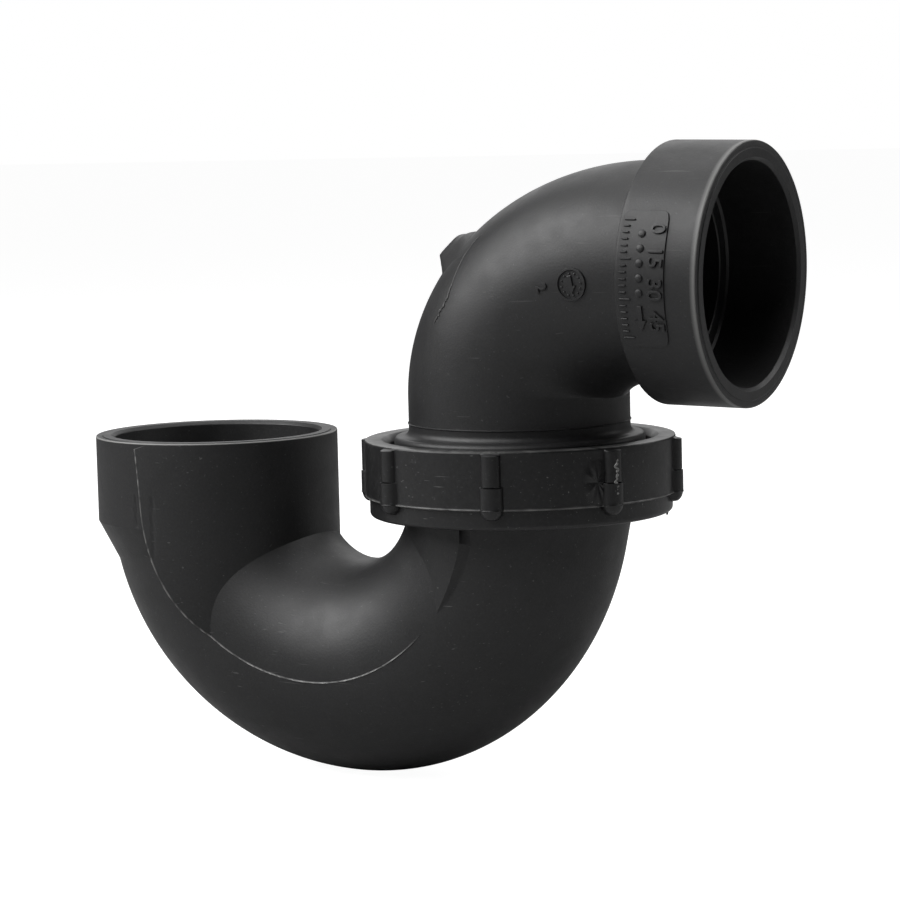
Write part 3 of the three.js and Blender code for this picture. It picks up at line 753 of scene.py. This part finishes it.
def bar(x, y, half_x, half_y, lift, low):
    """A low bar with its top edges broken."""
    levels = [[half_x, half_y, low, 0], [half_x, half_y, lift - EDGE_BREAK, 0],
              [half_x - EDGE_BREAK, half_y - EDGE_BREAK, lift, 0]]
    return loop_block(levels, 8, 24) + np.array([x, y, 0])


def arrow(x, y, length, width, lift, low):
    """A flat arrow along +x: a shank and a head, as one outline that draws in a little at the top."""
    shank, head = 0.2 * width, 0.42 * length
    outline = np.array([[-length / 2, -shank], [length / 2 - head, -shank], [length / 2 - head, -width / 2],
                        [length / 2, 0], [length / 2 - head, width / 2], [length / 2 - head, shank],
                        [-length / 2, shank]])
    levels = [(outline, low), (outline, lift - EDGE_BREAK), (outline * 0.93, lift)]
    return np.stack([np.column_stack([edge + [x, y], np.full(len(edge), level)])
                     for edge, level in levels])


pad_shrink = np.linspace(0.02, 1, 18)
pad_levels = [[PAD_HALF_ROUND * k, PAD_HALF_LONG * k, PAD_ROOT, 0] for k in pad_shrink]
pad_levels += [[PAD_HALF_ROUND, PAD_HALF_LONG, PAD_LIFT - EDGE_BREAK, 0]]
pad_levels += [[PAD_HALF_ROUND * k - EDGE_BREAK * k, PAD_HALF_LONG * k - EDGE_BREAK * k, PAD_LIFT, 0]
               for k in pad_shrink[::-1]]
pad = joined("elbow_size_pad", [on_hub(loop_block(pad_levels, 9, 160))])
pad.data.materials.append(elbow_abs)
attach(pad, "elbow")

mark_top = PAD_LIFT + MARK_LIFT
mark_blocks = [dot(x, DOT_ROW, DOT_RADIUS, mark_top, 0) for x in (-9.5, -6.4, -3.3, -0.2, 2.9)]
mark_blocks.append(arrow(8.2, DOT_ROW, 5.4, 2.6, mark_top, 0))
for division, x in enumerate(np.linspace(-12.6, 12.6, 19)):
    reach = 1.25 if division % 6 == 0 else 0.75
    mark_blocks.append(bar(x, DIVISION_ROW + reach - 1.25, 0.2, reach, mark_top - 0.1, 0))
mark_texts = []
for body, x in (("0", -10.6), ("15", -4.6), ("30", 2.1), ("45", 8.9)):
    text_points, text_faces = numerals(body, NUMERAL_HEIGHT, mark_top, 0)
    mark_texts.append((on_hub(text_points + np.array([x, NUMERAL_ROW, 0])), text_faces))
marks = joined("elbow_size_marks", [on_hub(block) for block in mark_blocks], mark_texts)
marks.data.materials.append(elbow_abs)
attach(marks, "elbow")

# ---------------------------------------------------------------------------------------------
# Mould dial. A round insert in the mould leaves a ring, twelve dots and an arrow on the elbow's
# front, and beside it is the cavity's number. One with the elbow, in the same ABS.

DIAL_TURN = math.radians(76)
DIAL_AROUND = math.radians(92)
DIAL_RADIUS = 3.6
DIAL_LIFT = 0.42
CAVITY_TURN = math.radians(64)
CAVITY_AROUND = math.radians(89)
CAVITY_HEIGHT = 2.4

ring_levels = [[DIAL_RADIUS * k, DIAL_RADIUS * k, -0.3, 0] for k in (0.02, 0.5, 1)]
ring_levels += [[DIAL_RADIUS - inward, DIAL_RADIUS - inward, lift, 0]
                for inward, lift in ((0, 0.18), (0.12, DIAL_LIFT), (0.5, DIAL_LIFT), (0.6, 0.06))]
ring_levels += [[(DIAL_RADIUS - 0.7) * k, (DIAL_RADIUS - 0.7) * k, 0.05, 0] for k in (1, 0.7, 0.35, 0.02)]
dial_blocks = [loop_block(ring_levels, 2, 72), arrow(0, 0, 3.9, 2.2, DIAL_LIFT + 0.04, 0)]
for hour in range(12):
    hand = hour * math.pi / 6
    dial_blocks.append(dot(2.35 * math.cos(hand), 2.35 * math.sin(hand), 0.24, 0.3, 0))
cavity_points, cavity_faces = numerals("2", CAVITY_HEIGHT, 0.38, -0.3)
dial = joined("elbow_mould_dial", [on_elbow(block, DIAL_TURN, DIAL_AROUND) for block in dial_blocks],
              [(on_elbow(cavity_points, CAVITY_TURN, CAVITY_AROUND), cavity_faces)])
dial.data.materials.append(elbow_abs)
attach(dial, "elbow")

# ---------------------------------------------------------------------------------------------
# Witness line. The mould's insert for the fan gate leaves a thin raised line from the lug down the
# front of the elbow, torn ragged at its lower end. One with the elbow, in the same ABS.

WITNESS_TURNS = np.radians(np.linspace(47, 22, 60))
witness_share = np.linspace(0, 1, 60)
witness_around = np.radians(36 + 20 * smooth(witness_share, 0, 0.75))
witness_ragged = smooth(witness_share, 0.45, 0.62) * (1 - smooth(witness_share, 0.88, 1))


def bead(path, radius, sides=8):
    """A thin cord of plastic along a path of [x, y] on a skin, as rings of [x, y, lift] points: the
    path + radius (cos angle across it + sin angle outwards)."""
    step = np.gradient(path, axis=0)
    step = step / np.linalg.norm(step, axis=1, keepdims=True)
    angle = np.linspace(0, 2 * math.pi, sides, endpoint=False)
    over = np.stack([-step[:, 1], step[:, 0]], -1)[:, None, :]
    flat = path[:, None, :] + radius[:, None, None] * np.cos(angle)[None, :, None] * over
    return np.concatenate([flat, (radius[:, None] * np.sin(angle))[..., None]], -1)


witness_speed = math.hypot(ELBOW_REACH * math.sin(LUG_TURN), ELBOW_RISE * math.cos(LUG_TURN))
witness_path = np.stack([
    witness_around * NECK_RADIUS + 0.5 * witness_ragged * ripple(witness_share * 60, 7.1, 3.3, 2.3),
    (WITNESS_TURNS - LUG_TURN) * witness_speed], -1)
witness_radius = 0.12 + 0.22 * witness_ragged * (0.6 + 0.4 * ripple(witness_share * 60, 5.3, 2.7))
witness_radius = witness_radius * smooth(witness_share, -0.02, 0.04) * (1 - smooth(witness_share, 0.95, 1.02))
witness_bead = on_elbow(bead(witness_path, witness_radius), LUG_TURN, 0.0)
witness = joined("elbow_witness_line", [witness_bead], wear_and_highlight=0.06)
witness.data.materials.append(elbow_abs)
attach(witness, "elbow")

# ---------------------------------------------------------------------------------------------
# Union nut. Moulded in black ABS, smoother and more handled than the rest: a lip that bears on the
# elbow's flange, a band with eight half-round grip ribs, a plain skirt, and the inside thread.

NUT_TOP = nut_high[2]
NUT_BOTTOM = nut_low[2]
NUT_LIP = 3
NUT_OPENING_RADIUS = 29.7
NUT_OPENING_CHAMFER = 1.4
BAND_RADIUS = 34.9
BAND_BOTTOM = -11.35
SKIRT_RADIUS = 34.05
SKIRT_ROUND = 0.9  # the radius of its bottom edge
NUT_ROOT_RADIUS = COLLAR_RADIUS + THREAD_HEIGHT + CLEARANCE
NUT_THREAD_TURNS = 2.6
RIB_COUNT = 8
RIB_ANGLE = math.radians(-71.5)
RIB_RADIUS = 36.3
RIB_HALF_WIDTH = 2.1
RIB_FOOT_RADIUS = 36.6
RIB_FOOT_HALF_WIDTH = 2.5
RIB_FOOT_TOP = -6.2
RIB_FOOT_BOTTOM = -13.4

rib_columns = np.radians(np.linspace(-5.2, 5.2, 37))
plain_columns = np.radians(np.linspace(5.2, 39.8, 13)[1:-1])
sector = np.concatenate([rib_columns, plain_columns])
nut_angle = (RIB_ANGLE + np.arange(RIB_COUNT)[:, None] * 2 * math.pi / RIB_COUNT + sector).ravel()
across_rib = np.tile(np.concatenate([rib_columns, np.full(len(plain_columns), 0.2)]), RIB_COUNT)
across_rib = np.abs(across_rib) * BAND_RADIUS


def half_round(across, half_width, height):
    """The height of a half-round rib: an ellipse's quarter from its crown to its foot."""
    return height * np.sqrt(np.maximum(1 - (across / half_width) ** 2, 0))


def nut_outside(z):
    """The nut's outside radius at a height, for every column: band or skirt, and the rib over it."""
    body = SKIRT_RADIUS + (BAND_RADIUS - SKIRT_RADIUS) * smooth(z, BAND_BOTTOM - 0.08, BAND_BOTTOM + 0.08)
    below = ((NUT_BOTTOM + SKIRT_ROUND - z) / SKIRT_ROUND).clip(0)
    body = body - SKIRT_ROUND * (1 - np.sqrt(np.clip(1 - below**2, 0, 1)))
    body = body + 0.09 * np.exp(-(((z - BAND_BOTTOM - 0.22) / 0.16) ** 2))
    above_foot = smooth(z, RIB_FOOT_TOP - 0.1, RIB_FOOT_TOP + 0.15)
    on_upper = above_foot * (1 - smooth(z, NUT_TOP - 0.75, NUT_TOP - 0.35))
    upper = half_round(across_rib, RIB_HALF_WIDTH, RIB_RADIUS - BAND_RADIUS + 0.25) * on_upper
    end = RIB_FOOT_BOTTOM + RIB_FOOT_HALF_WIDTH
    past_end = np.clip(end - z, 0, None)
    away = np.hypot(across_rib, past_end)
    on_foot = 1 - above_foot
    foot = half_round(away, RIB_FOOT_HALF_WIDTH, RIB_FOOT_RADIUS - BAND_RADIUS + 0.15) * on_foot
    ledge = np.where(away < RIB_FOOT_HALF_WIDTH, np.maximum(BAND_RADIUS - body - 0.1, 0), 0) * on_foot
    return body + np.maximum(upper, foot + ledge)


outside_z = np.concatenate([
    np.linspace(NUT_TOP - 0.3, NUT_TOP - 0.9, 6), np.linspace(NUT_TOP - 1.3, RIB_FOOT_TOP + 0.4, 14),
    np.linspace(RIB_FOOT_TOP + 0.2, RIB_FOOT_TOP - 0.2, 6),
    np.linspace(RIB_FOOT_TOP - 0.6, BAND_BOTTOM + 0.7, 12),
    np.linspace(BAND_BOTTOM + 0.45, BAND_BOTTOM - 0.15, 10),
    np.linspace(BAND_BOTTOM - 0.3, RIB_FOOT_BOTTOM - 0.2, 12),
    np.linspace(RIB_FOOT_BOTTOM - 0.5, NUT_BOTTOM + 1, 4),
    NUT_BOTTOM + SKIRT_ROUND * (1 - np.sin(np.linspace(0.1, 1.5, 8))),
])[:, None]
outside_radius = nut_outside(outside_z)
edge_fade = smooth(outside_z, NUT_TOP - 0.36, NUT_TOP - 0.3)
outside_radius = outside_radius - 0.05 * edge_fade


def turned_rows(radius, height):
    """Rings about the union's axis with a radius for every row and column."""
    x, y = UNION_X + radius * np.cos(nut_angle), radius * np.sin(nut_angle)
    return np.stack([x, y, height + 0 * radius], -1)


def plain_rows(outline):
    """Rings about the union's axis from [radius, height] points, on the nut's columns."""
    return rings(outline, nut_angle, UNION_X)


lip_bottom = NUT_TOP - NUT_LIP
nut_top_rows = plain_rows([
    [NUT_OPENING_RADIUS + 0.15, lip_bottom], [NUT_OPENING_RADIUS, lip_bottom + 0.15],
    [NUT_OPENING_RADIUS, NUT_TOP - NUT_OPENING_CHAMFER - 0.1],
    [NUT_OPENING_RADIUS + 0.08, NUT_TOP - NUT_OPENING_CHAMFER + 0.05],
    [NUT_OPENING_RADIUS + NUT_OPENING_CHAMFER - 0.1, NUT_TOP - 0.12],
    [NUT_OPENING_RADIUS + NUT_OPENING_CHAMFER + 0.12, NUT_TOP],
    [BAND_RADIUS - 0.35, NUT_TOP], [BAND_RADIUS - 0.12, NUT_TOP - 0.08],
])
inside_z = np.linspace(NUT_BOTTOM + 0.35, lip_bottom - 0.1, 52)[:, None]
nut_ridge = thread_ridge(nut_angle, inside_z, NUT_THREAD_TURNS, 0.5)
inside_radius = NUT_ROOT_RADIUS - THREAD_HEIGHT * nut_ridge
nut_foot = plain_rows([[NUT_ROOT_RADIUS + 0.35, NUT_BOTTOM], [NUT_ROOT_RADIUS + 0.05, NUT_BOTTOM + 0.15]])
lip_under = plain_rows([[NUT_ROOT_RADIUS - 0.2, lip_bottom]])
nut_points = np.concatenate([
    nut_top_rows, turned_rows(outside_radius, outside_z), nut_foot,
    turned_rows(inside_radius, inside_z), lip_under])
nut_wear_and_highlight = np.zeros(nut_points.shape[:2])
band_edge = np.exp(-(((outside_z - BAND_BOTTOM - 0.2) / 0.22) ** 2))
uneven = 0.5 + 0.5 * ripple(nut_angle * BAND_RADIUS, 9.7, 3.3, 1.1)
first_outside = len(nut_top_rows)
# The band's lower edge, a fine flash bead, is painted pale between the ribs and broken unevenly: whitened
# flash with a painted highlight line.
nut_wear_and_highlight[first_outside:first_outside + len(outside_z)] = 0.5 * band_edge * uneven * (across_rib > 2.6)
nut_wear_and_highlight[first_outside - 2:first_outside] = 0.25 * uneven

nut_abs = moulded_abs("black_abs_handled_nut", "#0e0e0f", "#161617", 0.46, 0.32, 0.8, 0.018, 1.0)
nut = skin("union_nut_skin", nut_points, nut_wear_and_highlight)
nut.data.materials.append(nut_abs)
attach(nut, "nut")
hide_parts("union_nut")

# ---------------------------------------------------------------------------------------------
# Nut's gate scar and flash. The nut was fed beside one rib: the gate tore off there in a shallow
# fan and left a ragged bead up the rib, and a chip of flash hangs under the skirt.

SCAR_RIB_ANGLE = RIB_ANGLE + math.radians(45)
SCAR_SHIFT = -3.9  # from the rib's middle, round the nut
SCAR_HALF_ROUND = 3.4
SCAR_HALF_HIGH = 4.9
SCAR_Z = -5.9
SCAR_RIDGES = 9
BEAD_TOP = -1.0
BEAD_BOTTOM = -9.4
CHIP_ANGLE = math.radians(32)
CHIP_RADIUS = 32.9


def on_nut(local, angle, z, radius):
    """Puts [round the nut, up, lift] on a cylinder about the union's axis."""
    turned = angle + local[..., 0] / radius
    out = radius + local[..., 2]
    return np.stack([UNION_X + out * np.cos(turned), out * np.sin(turned), z + local[..., 1]], -1)


scar_levels = [[SCAR_HALF_ROUND * k, SCAR_HALF_HIGH * k, -0.4, 0] for k in np.linspace(0.02, 1, 8)]
scar_levels += [[SCAR_HALF_ROUND * k, SCAR_HALF_HIGH * k, 0.02 + 0.1 * (1 - k), 0]
                for k in np.linspace(1, 0.02, 14)]
scar_points = loop_block(scar_levels, 3, 108)
scar_spoke = np.linspace(0, 2 * math.pi, 108, endpoint=False)
scar_share = np.hypot(scar_points[..., 0] / SCAR_HALF_ROUND, scar_points[..., 1] / SCAR_HALF_HIGH)
scar_wave = scar_spoke * SCAR_RIDGES / (2 * math.pi) * (1 + 0.12 * np.sin(scar_spoke))
scar_ridge = np.abs(scar_wave % 1 - 0.5)
scar_on_top = np.arange(len(scar_levels))[:, None] >= 8
scar_points[..., 2] += 0.5 * scar_ridge * np.sin(math.pi * np.clip(scar_share, 0.05, 1)) * scar_on_top
bead_share = np.linspace(0, 1, 90)
bead_path = np.stack([
    0.55 * ripple(bead_share * 8.4, 2.9, 1.7, 1.1),
    BEAD_TOP + (BEAD_BOTTOM - BEAD_TOP) * bead_share - SCAR_Z], -1)
bead_radius = 0.24 + 0.13 * ripple(bead_share * 8.4, 1.3, 0.8)
bead_radius = bead_radius * smooth(bead_share, -0.02, 0.05) * (1 - smooth(bead_share, 0.93, 1.02)) + 0.01
chip_levels = [[1.5, 0.5, 1.2, 0], [1.4, 0.45, 0, 0], [1.1, 0.35, -0.9, 0.2], [0.6, 0.22, -1.6, 0.5],
               [0.2, 0.1, -1.9, 0.7]]
chip_local = loop_block(chip_levels, 3, 24)[..., [0, 2, 1]]
trims = joined("nut_gate_scar", [
    on_nut(scar_points, SCAR_RIB_ANGLE + SCAR_SHIFT / BAND_RADIUS, SCAR_Z, BAND_RADIUS),
    on_nut(chip_local, CHIP_ANGLE, NUT_BOTTOM, CHIP_RADIUS)])
trims.data.materials.append(nut_abs)
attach(trims, "nut")
bead_points = on_nut(bead(bead_path, bead_radius), SCAR_RIB_ANGLE, SCAR_Z, RIB_RADIUS + 0.2)
# The bead is painted pale: whitened torn flash with a painted glint.
rib_bead = joined("nut_gate_bead", [bead_points], wear_and_highlight=0.42)
rib_bead.data.materials.append(nut_abs)
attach(rib_bead, "nut")

# ---------------------------------------------------------------------------------------------
# Washer. A flat ring of black nitrile rubber with rounded edges, squeezed between the collar and
# the elbow's flange; it is out of sight until the nut is run off.

WASHER_INNER_RADIUS = 25.0
WASHER_OUTER_RADIUS = 31.0
WASHER_EDGE = 0.3
washer_angle = np.linspace(0, 2 * math.pi, 144, endpoint=False)
washer_outline = []
for corner_radius, corner_height, start in (
        (WASHER_OUTER_RADIUS - WASHER_EDGE, washer_low[2] + WASHER_EDGE, -90),
        (WASHER_OUTER_RADIUS - WASHER_EDGE, washer_high[2] - WASHER_EDGE, 0),
        (WASHER_INNER_RADIUS + WASHER_EDGE, washer_high[2] - WASHER_EDGE, 90),
        (WASHER_INNER_RADIUS + WASHER_EDGE, washer_low[2] + WASHER_EDGE, 180)):
    washer_outline += arc((corner_radius, corner_height), WASHER_EDGE, start, start + 90, 4)


# Nitrile rubber, cut from sheet: dull, with a bloom of grey dust and a slightly leathery skin.
def sheet_rubber():
    """Dull black rubber: a noise of 1.4 mm gives the skin, and a broad one the grey bloom."""
    material = bpy.data.materials.new("nitrile_rubber_sheet")
    material.use_nodes = True
    tree = material.node_tree
    tree.nodes.clear()
    place = add(tree, "ShaderNodeTexCoord").outputs["Object"]
    bloom = noise(tree, place, 6, 4)
    leather = noise(tree, place, 1.4, 3)
    colour = add(tree, "ShaderNodeMix", {"A": linear("#121213"), "B": linear("#2a2a2a")},
                 {"Factor": bloom}, data_type="RGBA")
    bump = add(tree, "ShaderNodeBump", {"Strength": 1.0, "Distance": 0.05 * MM},
               {"Height": leather})
    shader = add(tree, "ShaderNodeBsdfPrincipled", {"Roughness": 0.85, "IOR": 1.52},
                 {"Base Color": colour.outputs["Result"], "Normal": bump.outputs[0]})
    add(tree, "ShaderNodeOutputMaterial", links={"Surface": shader.outputs[0]})
    return material


washer = skin("union_washer_skin", rings(washer_outline, washer_angle, UNION_X))
washer.data.materials.append(sheet_rubber())
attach(washer, "washer")
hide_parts("union_washer")

# ---------------------------------------------------------------------------------------------
# Studio. A plain white floor under the bend, soft boxes round it, and the camera.

floor_mesh = bpy.data.meshes.new("studio_floor")
FLOOR_HALF = 12.0
FLOOR_GLOW = 0.96
ROOM_FRONT = (0.50, -0.86, 0.1)
ROOM_FRONT_LIGHT = 0.015
ROOM_BACK_LIGHT = 0.10
ROOM_DARK_FROM = 0.25  # how far round to the front the room is dark, as a cosine
floor_z = bend_low[2] * MM
floor_mesh.from_pydata([(-FLOOR_HALF, -FLOOR_HALF, floor_z), (FLOOR_HALF, -FLOOR_HALF, floor_z),
                        (FLOOR_HALF, FLOOR_HALF, floor_z), (-FLOOR_HALF, FLOOR_HALF, floor_z)],
                       [], [(0, 1, 2, 3)])
floor = bpy.data.objects.new("studio_floor", floor_mesh)
bpy.context.collection.objects.link(floor)
floor_paint = bpy.data.materials.new("white_floor_paint")
floor_paint.use_nodes = True
floor_tree = floor_paint.node_tree
paint = floor_tree.nodes["Principled BSDF"]
paint.inputs["Base Color"].default_value = linear("#a4a4a4")
paint.inputs["Roughness"].default_value = 0.9
paint.inputs["Specular IOR Level"].default_value = 0.2
paint.inputs["Emission Color"].default_value = linear("#ffffff")
seen = add(floor_tree, "ShaderNodeLightPath").outputs["Is Camera Ray"]
glow = add(floor_tree, "ShaderNodeMath", {1: FLOOR_GLOW}, {0: seen}, operation="MULTIPLY")
floor_tree.links.new(glow.outputs[0], paint.inputs["Emission Strength"])
floor.data.materials.append(floor_paint)

# The room: white to the eye, but the light it throws is dim in front and brighter behind.
world = bpy.data.worlds.new("studio_room")
world.use_nodes = True
room = world.node_tree
way = add(room, "ShaderNodeTexCoord").outputs["Generated"]
facing = add(room, "ShaderNodeVectorMath", {1: ROOM_FRONT}, {0: way}, operation="DOT_PRODUCT")
glow = add(room, "ShaderNodeMapRange",
           {"From Min": -1.0, "From Max": ROOM_DARK_FROM,
            "To Min": ROOM_BACK_LIGHT, "To Max": ROOM_FRONT_LIGHT}, {"Value": facing.outputs["Value"]})
seen = add(room, "ShaderNodeLightPath").outputs["Is Camera Ray"]
shown = add(room, "ShaderNodeMix", {"B": 1.0}, {"Factor": seen, "A": glow.outputs[0]}, data_type="FLOAT")
room.links.new(shown.outputs[0], room.nodes["Background"].inputs["Strength"])
room.nodes["Background"].inputs["Color"].default_value = linear("#ffffff")
bpy.context.scene.world = world

AZIMUTH = math.radians(30.4)
ELEVATION = math.radians(6.1)
ROLL = math.radians(-1.41)
CAMERA_DISTANCE = 0.699
AIM = Vector((0.055, 0, -0.020))
AIM_SHIFT = (0.00757, 0.01714)
LENS = 121.58

back = Vector((math.sin(AZIMUTH) * math.cos(ELEVATION), -math.cos(AZIMUTH) * math.cos(ELEVATION),
               math.sin(ELEVATION)))
level_right = Vector((math.cos(AZIMUTH), math.sin(AZIMUTH), 0))
level_up = back.cross(level_right)
right = math.cos(ROLL) * level_right + math.sin(ROLL) * level_up
up = -math.sin(ROLL) * level_right + math.cos(ROLL) * level_up
aim = AIM + AIM_SHIFT[0] * right + AIM_SHIFT[1] * up


SOFT_BOX_DISTANCE = 1.1
SOFT_BOX_SIZE = 0.8


def soft_box(name, toward, power):
    """A square area light that stands off the object's middle in a direction and faces it."""
    light = bpy.data.lights.new(name, "AREA")
    light.shape = "RECTANGLE"
    light.size, light.size_y = SOFT_BOX_SIZE, SOFT_BOX_SIZE
    light.energy = power
    lamp = bpy.data.objects.new(name, light)
    way = Vector(toward).normalized()
    lamp.location = aim + way * SOFT_BOX_DISTANCE
    lamp.rotation_euler = (-way).to_track_quat("-Z", "Y").to_euler()
    bpy.context.collection.objects.link(lamp)


soft_box("key_soft_box", -0.8 * right + 0.1 * back + 0.6 * up, 11)
soft_box("front_soft_box", -0.5 * right + 0.6 * back + 0.6 * up, 5)
soft_box("top_soft_box", up - 0.1 * back, 4.2)
soft_box("back_soft_box", 0.6 * up - 0.8 * back, 2.4)
soft_box("right_soft_box", 0.8 * right + 0.6 * up, 5)

lens = bpy.data.cameras.new("studio_camera")
lens.sensor_width = 36
lens.lens = LENS
camera = bpy.data.objects.new("studio_camera", lens)
rotation = Matrix((right, up, back)).transposed()
camera.matrix_world = Matrix.Translation(aim + back * CAMERA_DISTANCE) @ rotation.to_4x4()
bpy.context.collection.objects.link(camera)
bpy.context.scene.camera = camera
bpy.context.scene.view_settings.view_transform = "Standard"
